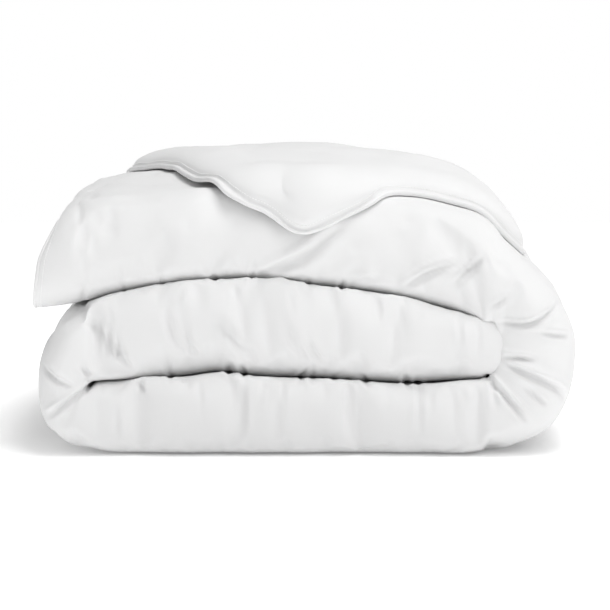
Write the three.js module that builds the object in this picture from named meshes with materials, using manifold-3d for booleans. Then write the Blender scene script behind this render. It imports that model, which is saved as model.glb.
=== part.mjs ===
// A single-bed duvet, 1400 x 2000 mm, put away as it is stored: folded in three across its width, so that
// the fold faces the front, and then rolled up in three flat runs. The end of the strip is tucked into the
// middle run, a left turn takes it down into the bottom run, and a right turn takes it up into the top run.
// The third layer of the cross fold lies on the top run with one loose corner hanging over the front.
//
// Units are millimetres, +X runs along the rolled strip, -Y is the front and +Z is up. The origin is the
// middle of the footprint, on the surface that the duvet lies on.
//
// The cover and the filling are cut at the folds into separate solids, so that the top fold can lift off the
// roll and the loose corner can turn up: a shell is an open sleeve of fabric, and its filling lies inside.

import * as THREE from "three";
import { mergeVertices } from "three/addons/utils/BufferGeometryUtils.js";
import Module from "manifold-3d";

const wasm = await Module();
wasm.setup();

// ---- driving dimensions ------------------------------------------------------------------------------

const FOLD_DEPTH = 500; // front fold to back fold
const FOLD_BULGE = 62; // how far the rounded front and back folds stand out from the flat part
const CLOTH = 0.9; // the cover's thickness, seam allowance included
const GAP = 0.3; // between two solids that touch
const SLIT = 1.6; // between two runs that lie on each other

const BOTTOM_THICK = 88; // thickness of the bottom run
const LEFT_PIVOT_X = -235; // where the left turn begins
const LEFT_REACH = 71; // how far the left turn stands out beyond its pivot
const RIGHT_PIVOT_X = 200; // where the right turn begins
const TUCK_REACH = 25; // how far the tucked end of the middle run stands out beyond the right pivot
const TUCK_BLUNT = 30; // degrees from its tip where the tucked end is cut flat
const TUCK_CLEAR = 4; // between the tip of the tucked end and the right turn round it
const RIGHT_REACH = 104; // how far the right turn stands out beyond its pivot
const SHOULDER_SLOPE = 1.3; // 1 for a round shoulder above it, and more for a straighter slope

const ARCH_CREST = 210; // height of the arched line between the middle and the top run
const ARCH_X = -40; // where that line is highest
const ARCH_FALL = 56; // how far it falls in ARCH_SPAN
const ARCH_SPAN = 300;
const TOP_CREST = 300; // height of the top run's upper side at the folds' flat part
const TOP_CREST_X = -20;
const TOP_FALL = 43; // how far it falls in ARCH_SPAN towards the right turn
const TOP_FALL_LEFT = 16; // and towards the free end
const TOP_CROWN = 12; // how much higher the top run is in the middle of its depth
const HEAD_X = -304; // where the cover ends at the free end of the top run
const HEAD_ROUND = 24; // the length over which the free end rounds off
const HEAD_PINCH = 0.8; // share of the thickness that is left at the free end
const HEAD_STITCHED = 1.05; // share of the thickness at which the row of stitches runs round it
const HEAD_LINE_WAY = FOLD_DEPTH * 0.84; // way that the bound edge goes round the free end, on each side

const LAYER_THICK = 23; // the third layer on the top run
const LAYER_EDGE = 0.5; // share of that thickness left at the layer's edge
const LAYER_CLEAR = 7.5; // between the third layer and the fold that it lies on
const BULGE_WAY = 100; // way along the cover from the front of the fold to its flat part
const LAYER_BACK_WAY = 520; // where the third layer starts, as a way round the fold from its front
const LAYER_STUB = 40; // width of the third layer at the free end
const LAYER_LEFT_X = -288; // where the short edge meets the back of the free end
const CORNER_X = -2; // the loose corner
const CORNER_WAY = 8; // it hangs over the front, this far above the fold's front
const CORNER_ROUND = 34; // length over which the corner is rounded off
const SHOULDER_WAY = 150; // where the long edge passes into the right turn
const TURN_LAYER_FACETS = 7; // how many of the right turn's facets the third layer covers
const TURN_LAYER_THIN = 8; // its thickness where it goes under the roll
const TURN_LAYER_CLEAR = 3; // and how far it lies from the turn there
const WADDING_CLEAR = LAYER_THICK / 11.5; // between the third layer's cover and its filling
const LAYER_FACETS = 14; // facets across the layer
const LAYER_FINER = 1.4; // over 1 puts them closer together towards its edge

const BINDING_R = 3.4; // radius of the bound edge
const BINDING_CLEAR = 1.5; // between the bound edge and the layer's, which is made of straight lengths
const THREAD_R = 0.7;
const THREAD_SET = 10; // how far the row of stitches lies from the edge of the cover
const STITCHED_EDGE = 1.05; // height of the row of stitches as a share of the layer's thickness
const LABEL = { width: 32, length: 46, thick: 0.8, y: FOLD_DEPTH * 0.3, top: 178 };

// The corner turns up on a line across the third layer, from the short edge to the long edge.
const TURN_UP = { x: -12, y: -59, skew: 27.7, slot: 1 };

const SECTION = { round: 8, flat: 4, power: 2.4 }; // facets in the folds and across the flat, and squareness
const RUN_STEPS = 6;
const TURN_FACET = 20; // degrees

// ---- the folded strip --------------------------------------------------------------------------------

const flatHalf = FOLD_DEPTH / 2 - FOLD_BULGE;
const radians = THREE.MathUtils.degToRad;
const clamp = THREE.MathUtils.clamp;
const squarish = (value) => Math.sign(value) * Math.abs(value) ** (2 / SECTION.power);

const archHeight = (x) => ARCH_CREST - ARCH_FALL * ((x - ARCH_X) / ARCH_SPAN) ** 2;
const topHeight = (x) => {
  const fall = x < TOP_CREST_X ? TOP_FALL_LEFT : TOP_FALL;
  return TOP_CREST - fall * ((x - TOP_CREST_X) / ARCH_SPAN) ** 2;
};
const middleFloor = BOTTOM_THICK + SLIT;
const rightPivotZ = (middleFloor + archHeight(RIGHT_PIVOT_X) - SLIT / 2) / 2;
const leftPivotZ = BOTTOM_THICK + SLIT / 2;

// A station of the strip: the middle of its thickness, the way out of the roll, and half the thickness.
function station(inner, outer, crown = 0) {
  const out = outer.clone().sub(inner);
  const half = out.length() / 2;
  return { middle: inner.clone().add(outer).multiplyScalar(0.5), out: out.normalize(), half, crown };
}

const upright = (x, low, high, crown) =>
  station(new THREE.Vector2(x, low), new THREE.Vector2(x, high), crown);

// A point round the folded section at an angle from the front, 90 degrees being the side that faces out.
function sectionPoint(degrees, half, inset) {
  const angle = radians(degrees);
  const side = degrees <= 90 || degrees > 270 ? -1 : 1;
  const reach = (FOLD_BULGE - inset) * Math.abs(squarish(Math.cos(angle)));
  return { y: side * (flatHalf + reach), n: (half - inset) * squarish(Math.sin(angle)) };
}

// The closed outline of the section, anticlockwise from the underside of the front fold.
function sectionOutline(half, crown, inset) {
  const points = [];
  const across = (from, side) => {
    for (let i = 1; i < SECTION.flat; i++) {
      const y = from * flatHalf * (1 - (2 * i) / SECTION.flat);
      const lift = side > 0 ? crown * (1 - (y / flatHalf) ** 2) : 0;
      points.push({ y, n: side * (half - inset) + lift });
    }
  };
  const fold = (from, to) => {
    for (let i = 0; i <= SECTION.round; i++)
      points.push(sectionPoint(from + ((to - from) * i) / SECTION.round, half, inset));
  };
  fold(-90, 90);
  across(-1, 1);
  fold(90.001, 270);
  across(1, -1);
  return points;
}

function ring(at, inset) {
  return sectionOutline(at.half, at.crown, inset).map(
    (p) => new THREE.Vector3(at.middle.x + at.out.x * p.n, p.y, at.middle.y + at.out.y * p.n),
  );
}

// ---- solids from rings -------------------------------------------------------------------------------

// Gathers the corners and the faces of a solid whose skins are all made of rings of equal count.
class RingSolid {
  corners = [];
  index = [];

  face(a, b, c, flip) {
    this.index.push(...(flip ? [a, c, b] : [a, b, c]));
  }

  // A skin through the rings. A flipped skin faces inwards, and is split along the same diagonals.
  skin(rings, flip = false) {
    const count = rings[0].length;
    const start = this.corners.length;
    this.corners.push(...rings.flat());
    for (let r = 0; r + 1 < rings.length; r++)
      for (let i = 0; i < count; i++) {
        const next = (i + 1) % count;
        const [a, b] = [start + r * count + i, start + r * count + next];
        const [c, d] = [b + count, a + count];
        this.face(a, b, c, flip);
        this.face(a, c, d, flip);
      }
    return { start, end: this.corners.length - count, count };
  }

  cap(first, count, flip) {
    const centre = this.corners.length;
    const rim = this.corners.slice(first, first + count);
    this.corners.push(rim.reduce((sum, p) => sum.add(p), new THREE.Vector3()).divideScalar(count));
    for (let i = 0; i < count; i++) this.face(centre, first + ((i + 1) % count), first + i, flip);
  }

  // The flat rim between the outer and the inner skin of an open end.
  rim(outer, inner, count, flip) {
    for (let i = 0; i < count; i++) {
      const next = (i + 1) % count;
      this.face(outer + i, inner + i, inner + next, flip);
      this.face(outer + i, inner + next, outer + next, flip);
    }
  }

  geometry() {
    return outward(new THREE.BufferGeometry().setFromPoints(this.corners).setIndex(this.index));
  }
}

// Turns the faces round if they point into the solid.
function outward(geometry) {
  const at = geometry.getAttribute("position");
  const order = geometry.getIndex().array;
  const p = [new THREE.Vector3(), new THREE.Vector3(), new THREE.Vector3()];
  let volume = 0;
  for (let i = 0; i < order.length; i += 3) {
    p.forEach((v, k) => v.fromBufferAttribute(at, order[i + k]));
    volume += p[0].dot(p[1].cross(p[2]));
  }
  if (volume < 0)
    for (let i = 0; i < order.length; i += 3) [order[i], order[i + 1]] = [order[i + 1], order[i]];
  return geometry;
}

// A solid through the rings, capped at both ends.
function loft(rings) {
  const solid = new RingSolid();
  const { start, end, count } = solid.skin(rings);
  solid.cap(start, count, false);
  solid.cap(end, count, true);
  return solid.geometry();
}

// A filled length of the strip, a little smaller than the cover that it lies in.
const filled = (stations) => loft(stations.map((at) => ring(at, CLOTH + GAP)));

// A solid between an outer and an inner skin, open at both ends.
function hollow(outerRings, innerRings) {
  const solid = new RingSolid();
  const outer = solid.skin(outerRings);
  const inner = solid.skin(innerRings, true);
  solid.rim(outer.start, inner.start, outer.count, false);
  solid.rim(outer.end, inner.end, outer.count, true);
  return solid.geometry();
}

// A sleeve of cover fabric round a length of the strip.
const sleeve = (stations) =>
  hollow(
    stations.map((at) => ring(at, 0)),
    stations.map((at) => ring(at, CLOTH)),
  );

// A cover that is closed at its first station and open at its last.
function cup(stations) {
  const solid = new RingSolid();
  const outer = solid.skin(stations.map((at) => ring(at, 0)));
  const inner = solid.skin(
    stations.slice(1).map((at) => ring(at, CLOTH)),
    true,
  );
  solid.cap(outer.start, outer.count, false);
  solid.cap(inner.start, inner.count, true);
  solid.rim(outer.end, inner.end, outer.count, true);
  return solid.geometry();
}

const evenly = (from, to, steps, make) =>
  Array.from({ length: steps + 1 }, (_, i) => make(from + ((to - from) * i) / steps));

// ---- the five lengths of the strip -------------------------------------------------------------------

const turnShape = (degrees) => ({ c: Math.cos(radians(degrees)), s: Math.sin(radians(degrees)) });

// The tucked end rounds off towards the right pivot's far side; stations run from the tip to the left turn.
const tuckTip = evenly(TUCK_BLUNT, 90, 4, (degrees) => {
  const { c, s } = turnShape(degrees);
  const half = (rightPivotZ - middleFloor) * s;
  return upright(RIGHT_PIVOT_X + TUCK_REACH * c, rightPivotZ - half, rightPivotZ + half);
});
const middleRun = [
  ...tuckTip,
  ...evenly(RIGHT_PIVOT_X, LEFT_PIVOT_X + GAP, RUN_STEPS, (x) =>
    upright(x, middleFloor, archHeight(x) - SLIT / 2),
  ).slice(1),
];

const leftTurn = evenly(90, 270, 180 / TURN_FACET, (degrees) => {
  const { c, s } = turnShape(degrees);
  const rise = s > 0 ? archHeight(LEFT_PIVOT_X) - SLIT / 2 - leftPivotZ : leftPivotZ;
  const pivot = new THREE.Vector2(LEFT_PIVOT_X, leftPivotZ);
  const inner = pivot.clone().add(new THREE.Vector2((c * SLIT) / 2, (s * SLIT) / 2));
  return station(inner, pivot.clone().add(new THREE.Vector2(c * LEFT_REACH, s * rise)));
});

const bottomRun = evenly(LEFT_PIVOT_X + GAP, RIGHT_PIVOT_X - GAP, RUN_STEPS, (x) =>
  upright(x, BOTTOM_THICK, 0),
);

function rightTurnAt(degrees) {
  const { c, s } = turnShape(degrees);
  const pivot = new THREE.Vector2(RIGHT_PIVOT_X, rightPivotZ);
  const under = rightPivotZ - BOTTOM_THICK;
  const over = archHeight(RIGHT_PIVOT_X) + SLIT / 2 - rightPivotZ;
  const rise = s > 0 ? topHeight(RIGHT_PIVOT_X) - rightPivotZ : rightPivotZ;
  const inner = new THREE.Vector2(c * (TUCK_REACH + TUCK_CLEAR), s * (s > 0 ? over : under));
  const slope = s > 0 ? SHOULDER_SLOPE : 1;
  const outer = new THREE.Vector2(Math.max(c, 0) ** slope, Math.sign(s) * Math.abs(s) ** slope);
  outer.multiply(new THREE.Vector2(RIGHT_REACH, rise));
  const crown = s > 0 ? TOP_CROWN * s ** 4 : 0;
  return station(inner.add(pivot), outer.add(pivot), crown);
}
const rightTurn = evenly(-90, 90, 180 / TURN_FACET, (degrees) => rightTurnAt(degrees));

const topAt = (x, share = 1) => {
  const low = archHeight(x) + SLIT / 2;
  const high = topHeight(x);
  const middle = (low + high) / 2;
  const half = ((high - low) / 2) * share;
  return upright(x, middle - half, middle + half, TOP_CROWN * share);
};
const headTip = evenly(0, 1, 3, (t) =>
  topAt(HEAD_X + HEAD_ROUND * t, HEAD_PINCH + (1 - HEAD_PINCH) * Math.sqrt(1 - (1 - t) ** 2)),
);
const topRun = [
  ...headTip,
  ...evenly(HEAD_X + HEAD_ROUND, RIGHT_PIVOT_X - GAP, RUN_STEPS, (x) => topAt(x)).slice(1),
];

// ---- the third layer on the top run ------------------------------------------------------------------

// Where the layer's free edge lies, as a way round the fold from its front: the short edge falls from the
// back of the free end to the loose corner, and the long edge climbs back to the right turn's shoulder.
function edgeWay(x) {
  const left = x < CORNER_X;
  const farX = left ? LAYER_LEFT_X : RIGHT_PIVOT_X;
  const roundOff = (dx) => Math.sqrt(dx ** 2 + CORNER_ROUND ** 2) - CORNER_ROUND;
  const share = Math.min(roundOff(x - CORNER_X) / roundOff(farX - CORNER_X), 1);
  const end = left ? LAYER_BACK_WAY - LAYER_STUB : SHOULDER_WAY;
  return CORNER_WAY + (end - CORNER_WAY) * share ** (left ? 1 : 0.8);
}

// A point `lift` above the cover at a station, `way` millimetres round the fold from its front.
function overCover(at, way, lift) {
  const onFront = way < BULGE_WAY;
  const past = onFront ? BULGE_WAY - way : way - BULGE_WAY - 2 * flatHalf;
  const angle = (Math.max(past, 0) / BULGE_WAY) * (Math.PI / 2);
  const side = onFront ? -1 : 1;
  const flatY = past > 0 ? side * flatHalf : way - BULGE_WAY - flatHalf;
  const y = flatY + side * (FOLD_BULGE + lift) * squarish(Math.sin(angle));
  const crown = past > 0 ? 0 : at.crown * (1 - (flatY / flatHalf) ** 2);
  const n = (at.half + lift) * squarish(Math.cos(angle)) + crown;
  return new THREE.Vector3(at.middle.x + at.out.x * n, y, at.middle.y + at.out.y * n);
}

// The layer's outline at a station, from its back over its upper side to its edge and back underneath.
function layerRing(at, edge, clear, full, inset) {
  const thick = (t) => full * Math.min(1, LAYER_EDGE + 2.2 * t * (1 - t));
  const way = (t) => {
    const across = 1 - (1 - t) ** LAYER_FINER;
    return clamp(LAYER_BACK_WAY + (edge - LAYER_BACK_WAY) * across, edge + inset, LAYER_BACK_WAY - inset);
  };
  const upper = evenly(0, 1, LAYER_FACETS, (t) => overCover(at, way(t), clear + thick(t) - inset));
  const lower = evenly(1, 0, LAYER_FACETS, (t) => overCover(at, way(t), clear + inset));
  return [...upper, ...lower];
}

const layerStations = [
  ...evenly(LAYER_LEFT_X, CORNER_X - CORNER_ROUND, 6, (x) => x),
  ...evenly(CORNER_X - CORNER_ROUND / 2, CORNER_X + CORNER_ROUND / 2, 2, (x) => x),
  ...evenly(CORNER_X + CORNER_ROUND, RIGHT_PIVOT_X - GAP, 5, (x) => x),
];
const layerOnTop = (inset) =>
  loft(
    layerStations
      .map((x) => clamp(x, LAYER_LEFT_X + inset, RIGHT_PIVOT_X - GAP - inset))
      .map((x) => layerRing(topAt(x), edgeWay(x), LAYER_CLEAR, LAYER_THICK, inset)),
  );

// The layer goes on over the right turn, thinner and closer towards the floor.
const turnLayerEnd = 90 - TURN_LAYER_FACETS * TURN_FACET;
const alongTurn = (degrees, from, to) => THREE.MathUtils.mapLinear(degrees, 90, turnLayerEnd, from, to);
const turnLayerClear = (degrees) => alongTurn(degrees, LAYER_CLEAR, TURN_LAYER_CLEAR);
const turnLayerThick = (degrees) => alongTurn(degrees, LAYER_THICK, TURN_LAYER_THIN);
const turnLayerRings = (inset) =>
  evenly(90, turnLayerEnd, TURN_LAYER_FACETS, (degrees) =>
    layerRing(rightTurnAt(degrees), SHOULDER_WAY, turnLayerClear(degrees), turnLayerThick(degrees), inset),
  );

// ---- cutting with manifold-3d ------------------------------------------------------------------------

function toManifold(geometry) {
  const bare = new THREE.BufferGeometry().setAttribute("position", geometry.getAttribute("position"));
  bare.setIndex(geometry.getIndex());
  const merged = mergeVertices(bare, 1e-4);
  return new wasm.Manifold(
    new wasm.Mesh({
      numProp: 3,
      vertProperties: new Float32Array(merged.getAttribute("position").array),
      triVerts: new Uint32Array(merged.getIndex().array),
    }),
  );
}

function toGeometry(solid) {
  const mesh = solid.getMesh();
  const points = [];
  for (let i = 0; i < mesh.numVert; i++)
    points.push(new THREE.Vector3().fromArray(mesh.vertProperties, i * mesh.numProp));
  return new THREE.BufferGeometry().setFromPoints(points).setIndex([...mesh.triVerts]);
}

// A block that holds everything in front of the line that the corner turns up on, or everything behind it.
function turnUpSide(front) {
  const size = 2 * FOLD_DEPTH;
  const block = new THREE.BoxGeometry(size * 2, size, size * 2);
  const shift = (size + TURN_UP.slot) / 2;
  block.translate(0, front ? -shift : shift, 0);
  block.rotateZ(radians(-TURN_UP.skew));
  block.translate(TURN_UP.x, TURN_UP.y, 0);
  return toManifold(block);
}

// The bodies of a solid on one side of the line, largest first.
const cutBodies = (solid, front) =>
  solid
    .intersect(turnUpSide(front))
    .decompose()
    .sort((a, b) => b.volume() - a.volume())
    .map(toGeometry);

const layerCover = toManifold(layerOnTop(0)).subtract(toManifold(layerOnTop(CLOTH)));
const layerFilling = toManifold(layerOnTop(CLOTH + WADDING_CLEAR));

// The cover of the layer over the turn is open where it meets the top run and where it goes under the roll.
const turnLayerCover = hollow(turnLayerRings(0), turnLayerRings(CLOTH));

// ---- bound edges, stitches and label -----------------------------------------------------------------

function bar(points, radius, sides) {
  const profile = new THREE.Shape(
    evenly(0, 360 - 360 / sides, sides - 1, (a) =>
      new THREE.Vector2(radius * Math.cos(radians(a)), radius * Math.sin(radians(a))),
    ),
  );
  const extrudePath = new THREE.CatmullRomCurve3(points);
  return new THREE.ExtrudeGeometry(profile, { steps: points.length * 2, extrudePath });
}
const binding = (points) => bar(points, BINDING_R, 8);
const thread = (points) => bar(points, THREAD_R, 5);

// A line that keeps its distance from the layer's free edge on the top run, inwards if `set` is positive.
function besideEdge(from, to, set, lift) {
  return evenly(from, to, 24, (x) => {
    const slope = edgeWay(x + 0.5) - edgeWay(x - 0.5);
    return overCover(topAt(x), edgeWay(x) + set * Math.sqrt(1 + slope ** 2), lift);
  });
}

// The same on the right turn.
const besideTurnEdge = (set, edgeShare, lift) =>
  evenly(88, turnLayerEnd + 2, 2 * TURN_LAYER_FACETS, (degrees) => {
    const edgeLift = turnLayerClear(degrees) + turnLayerThick(degrees) * edgeShare;
    return overCover(rightTurnAt(degrees), SHOULDER_WAY + set, edgeLift + lift);
  });

// A line round the front fold of the free end, from one way round the fold to the other.
const roundHead = (x, share, lift) =>
  evenly(-HEAD_LINE_WAY, HEAD_LINE_WAY, 20, (way) => {
    const at = topAt(x, share);
    const point = overCover({ ...at, crown: way > 0 ? at.crown : 0 }, Math.abs(way), lift);
    if (way < 0) point.z = 2 * at.middle.y - point.z;
    return point;
  });

const outside = -(BINDING_R + BINDING_CLEAR);
const onCloth = THREAD_R + GAP * (FOLD_BULGE / 62);

// The bound edge and the stitches of the layer on the top run, which are cut where the corner turns up.
function roundLayer(set, lift) {
  return besideEdge(LAYER_LEFT_X + 2 * BINDING_R, RIGHT_PIVOT_X - BINDING_R, set, LAYER_CLEAR + lift);
}
const edgeBinding = toManifold(binding(roundLayer(outside, (LAYER_THICK * LAYER_EDGE) / 2)));
const edgeStitches = toManifold(thread(roundLayer(THREAD_SET, LAYER_THICK * STITCHED_EDGE + onCloth)));

const careLabel = new THREE.BoxGeometry(LABEL.thick, LABEL.width, LABEL.length);
careLabel.translate(HEAD_X - GAP - LABEL.thick / 2, LABEL.y, LABEL.top - LABEL.length / 2);

// ---- assembly ----------------------------------------------------------------------------------------

const material = (name, color, roughness) => new THREE.MeshStandardMaterial({ name, color, roughness });
const coverCloth = material("cover_cloth", 0xf2f2f0, 0.85);
const wadding = material("wadding", 0xf7f6f2, 1);
const bindingTape = material("binding_tape", 0xf4f4f2, 0.7);
const sewingThread = material("sewing_thread", 0xfafaf8, 0.6);
const labelSatin = material("label_satin", 0xfbfbfb, 0.45);

const duvet = new THREE.Group();

function addPiece(name, geometry, cloth) {
  const mesh = new THREE.Mesh(geometry, cloth);
  mesh.name = name;
  duvet.add(mesh);
}

// The roll, which lies still.
addPiece("shell_middle_run", cup(middleRun), coverCloth);
addPiece("shell_left_turn", sleeve(leftTurn), coverCloth);
addPiece("shell_bottom_run", sleeve(bottomRun), coverCloth);
addPiece("shell_right_turn", sleeve(rightTurn), coverCloth);
addPiece("filling_middle_run", filled(middleRun.slice(1)), wadding);
addPiece("filling_left_turn", filled(leftTurn), wadding);
addPiece("filling_bottom_run", filled(bottomRun), wadding);
addPiece("filling_right_turn", filled(rightTurn), wadding);
addPiece("shell_turn_layer", turnLayerCover, coverCloth);
addPiece("filling_turn_layer", loft(turnLayerRings(CLOTH + WADDING_CLEAR)), wadding);
addPiece("binding_turn_edge", binding(besideTurnEdge(outside, LAYER_EDGE / 2, 0)), bindingTape);
addPiece("topstitch_turn_edge", thread(besideTurnEdge(THREAD_SET, STITCHED_EDGE, onCloth)), sewingThread);

// The top fold, which lifts off it.
addPiece("shell_top_run", cup(topRun), coverCloth);
addPiece("filling_top_run", filled(topRun.slice(1)), wadding);
addPiece("shell_top_layer", cutBodies(layerCover, false)[0], coverCloth);
addPiece("filling_top_layer", cutBodies(layerFilling, false)[0], wadding);
addPiece("binding_short_edge", cutBodies(edgeBinding, false)[0], bindingTape);
addPiece("topstitch_short_edge", cutBodies(edgeStitches, false)[0], sewingThread);
addPiece("binding_head_end", binding(roundHead(HEAD_X + outside, HEAD_PINCH, 0)), bindingTape);
const headStitches = roundHead(HEAD_X + THREAD_SET, HEAD_STITCHED, onCloth);
addPiece("topstitch_head_end", thread(headStitches), sewingThread);
addPiece("care_label", careLabel, labelSatin);

// The loose corner, which turns up.
addPiece("shell_corner", cutBodies(layerCover, true)[0], coverCloth);
addPiece("filling_corner", cutBodies(layerFilling, true)[0], wadding);

addPiece("binding_corner", cutBodies(edgeBinding, true)[0], bindingTape);
addPiece("topstitch_corner", cutBodies(edgeStitches, true)[0], sewingThread);

export default duvet;
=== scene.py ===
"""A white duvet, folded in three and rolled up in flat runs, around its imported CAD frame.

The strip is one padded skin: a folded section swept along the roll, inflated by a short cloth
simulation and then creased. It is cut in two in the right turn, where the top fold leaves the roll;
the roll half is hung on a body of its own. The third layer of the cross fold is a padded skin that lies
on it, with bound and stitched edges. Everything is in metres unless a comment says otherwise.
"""

import math

import bpy
import numpy as np
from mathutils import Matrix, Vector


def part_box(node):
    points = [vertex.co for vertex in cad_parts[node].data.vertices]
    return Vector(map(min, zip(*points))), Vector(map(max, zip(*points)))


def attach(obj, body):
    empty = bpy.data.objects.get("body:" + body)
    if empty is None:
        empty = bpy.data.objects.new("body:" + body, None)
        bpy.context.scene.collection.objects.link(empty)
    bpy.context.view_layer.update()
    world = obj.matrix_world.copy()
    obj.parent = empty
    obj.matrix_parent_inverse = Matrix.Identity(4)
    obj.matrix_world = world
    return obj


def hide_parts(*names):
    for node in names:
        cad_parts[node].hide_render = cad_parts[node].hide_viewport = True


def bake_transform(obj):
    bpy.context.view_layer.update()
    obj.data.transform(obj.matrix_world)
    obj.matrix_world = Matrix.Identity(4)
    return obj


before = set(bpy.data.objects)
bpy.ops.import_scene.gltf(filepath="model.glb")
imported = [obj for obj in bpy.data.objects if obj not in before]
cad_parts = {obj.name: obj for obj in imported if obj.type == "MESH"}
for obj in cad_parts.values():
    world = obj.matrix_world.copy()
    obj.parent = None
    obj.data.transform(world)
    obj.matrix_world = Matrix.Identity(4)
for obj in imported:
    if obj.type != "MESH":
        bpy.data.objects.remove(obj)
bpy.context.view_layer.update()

# ---- sizes from the frame ------------------------------------------------------------------------

BOTTOM_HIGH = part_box("shell_bottom_run")[1]
MIDDLE_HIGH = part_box("shell_middle_run")[1]
TOP_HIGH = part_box("shell_top_run")[1]

HALF_DEPTH = BOTTOM_HIGH.y  # half the depth of the folded strip
FOLD_BULGE = 0.062  # how far the rounded folds stand out from the flat part
FLAT_HALF = HALF_DEPTH - FOLD_BULGE
SLIT = 0.0006  # between two runs
BOTTOM_TOP = BOTTOM_HIGH.z
ARCH_TOP = MIDDLE_HIGH.z
CROWN = 0.012  # how much higher the top run is in the middle of its depth
TOP_CREST = TOP_HIGH.z - CROWN
PINCHED_X = -0.262  # where the free end begins to round off to its seam
TURN_START_X = 0.205  # where the right turn begins and ends
LEFT_PIVOT = (-0.250, 0.0805)  # x and z of the point that the left turn goes round

# The outlines of the two turns and of the tucked end, seen from the front, as x and z.
LEFT_OUTLINE = [
    (-0.276, 0.165),
    (-0.295, 0.135),
    (-0.307, 0.098),
    (-0.309, 0.060),
    (-0.303, 0.032),
    (-0.286, 0.014),
]
RIGHT_OUTLINE = [
    (0.252, 0.008),
    (0.287, 0.030),
    (0.306, 0.060),
    (0.314, 0.102),
    (0.312, 0.138),
    (0.303, 0.168),
    (0.283, 0.195),
    (0.255, 0.220),
    (0.227, 0.243),
]
TUCK_OUTLINE = [(0.2220, 0.094), (0.2285, 0.117), (0.2260, 0.146), (0.218, 0.160)]
TUCK_BASE_X = 0.203  # where the middle run goes over into its tucked end
TUCK_TIP_X = 0.2300
TUCK_SQUARE = 0.38  # power of the tucked end's outline: 1 is round, and less is squarer

STATION = 0.0058  # spacing of the rings along the strip
FOLD_POINTS = 30  # points of a ring round a fold
FLAT_POINTS = 30  # and across a flat side
TUCK_RINGS = 10
LEFT_RINGS = 34
RIGHT_RINGS = 56

# The lines between the runs, as seen from the front. A fall is reached at SPAN from the highest point.
SPAN = 0.3
ARCH_X = -0.06
ARCH_BELOW = 0.010  # how far the arch lies below the top of the middle run's shell
ARCH_FALL = 0.054
ARCH_SAG = 0.004  # how much lower the arch is on its right side, reached within ARCH_SAG_LENGTH
ARCH_SAG_LENGTH = 0.08
MIDDLE_BELOW = 0.003  # how far the middle line lies below the top of the bottom run's shell
MIDDLE_WAVES = [(0.006, -0.1, 0.03), (-0.007, 0.12, 0.08)]  # height, x and half width
TOP_X = -0.02
TOP_FALL_LEFT = 0.016
TOP_FALL_RIGHT = 0.043
SHOULDER_X = 0.13  # from here the top run falls SHOULDER_FALL more in SHOULDER_LENGTH
SHOULDER_LENGTH = 0.075
SHOULDER_FALL = 0.010
FLOOR_LEFT_X = -0.215  # the bottom run leaves the floor by FLOOR_LIFT, within FLOOR_LENGTH of here
FLOOR_LENGTH = 0.035
FLOOR_LIFT = 0.004


def bell(x, middle, width):
    return np.exp(-(((x - middle) / width) ** 2))


def smooth_step(t):
    t = np.clip(t, 0, 1)
    return t * t * (3 - 2 * t)


def arch(x):
    """Height of the line between the middle run and the top run."""
    fall = ARCH_FALL * ((x - ARCH_X) / SPAN) ** 2
    return ARCH_TOP - ARCH_BELOW - fall - ARCH_SAG * smooth_step((x - ARCH_X) / ARCH_SAG_LENGTH)


def middle_line(x):
    """Height of the line between the bottom run and the middle run."""
    waves = sum(height * bell(x, middle, width) for height, middle, width in MIDDLE_WAVES)
    return BOTTOM_TOP - MIDDLE_BELOW + waves


def top_line(x):
    """Height of the top run's upper side in front."""
    shoulder = np.clip((x - SHOULDER_X) / SHOULDER_LENGTH, 0, None)
    fall = np.where(x < TOP_X, TOP_FALL_LEFT, TOP_FALL_RIGHT)
    return TOP_CREST - fall * ((x - TOP_X) / SPAN) ** 2 - SHOULDER_FALL * shoulder**2


def floor_line(x):
    """Height of the bottom run's underside, which leaves the floor a little at its left end."""
    return FLOOR_LIFT * np.clip((FLOOR_LEFT_X - x) / FLOOR_LENGTH, 0, 1) ** 2


SPLINE_STEPS = 24  # steps of a smooth curve between two of its points


def resample(points, count):
    """A smooth curve through the points, as count points evenly spaced along it."""
    p = np.array(points, float)
    ends = np.vstack([2 * p[0] - p[1], p, 2 * p[-1] - p[-2]])
    t = np.linspace(0, 1, SPLINE_STEPS, endpoint=False)[:, None]
    dense = []
    for a, b, c, d in zip(ends, ends[1:], ends[2:], ends[3:]):
        square = 2 * a - 5 * b + 4 * c - d
        cube = 3 * b - a - 3 * c + d
        dense.append(0.5 * (2 * b + (c - a) * t + square * t**2 + cube * t**3))
    dense = np.vstack([*dense, p[-1:]])
    way = np.r_[0, np.cumsum(np.linalg.norm(np.diff(dense, axis=0), axis=1))]
    at = np.linspace(0, way[-1], count)
    return np.column_stack([np.interp(at, way, dense[:, k]) for k in range(p.shape[1])])


def spread(values, passes):
    """Smooths a row of values along its first axis, with its ends held."""
    v = np.array(values, float)
    for _ in range(passes):
        v[1:-1] = 0.25 * v[:-2] + 0.5 * v[1:-1] + 0.25 * v[2:]
    return v


# ---- the strip's stations ------------------------------------------------------------------------


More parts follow.
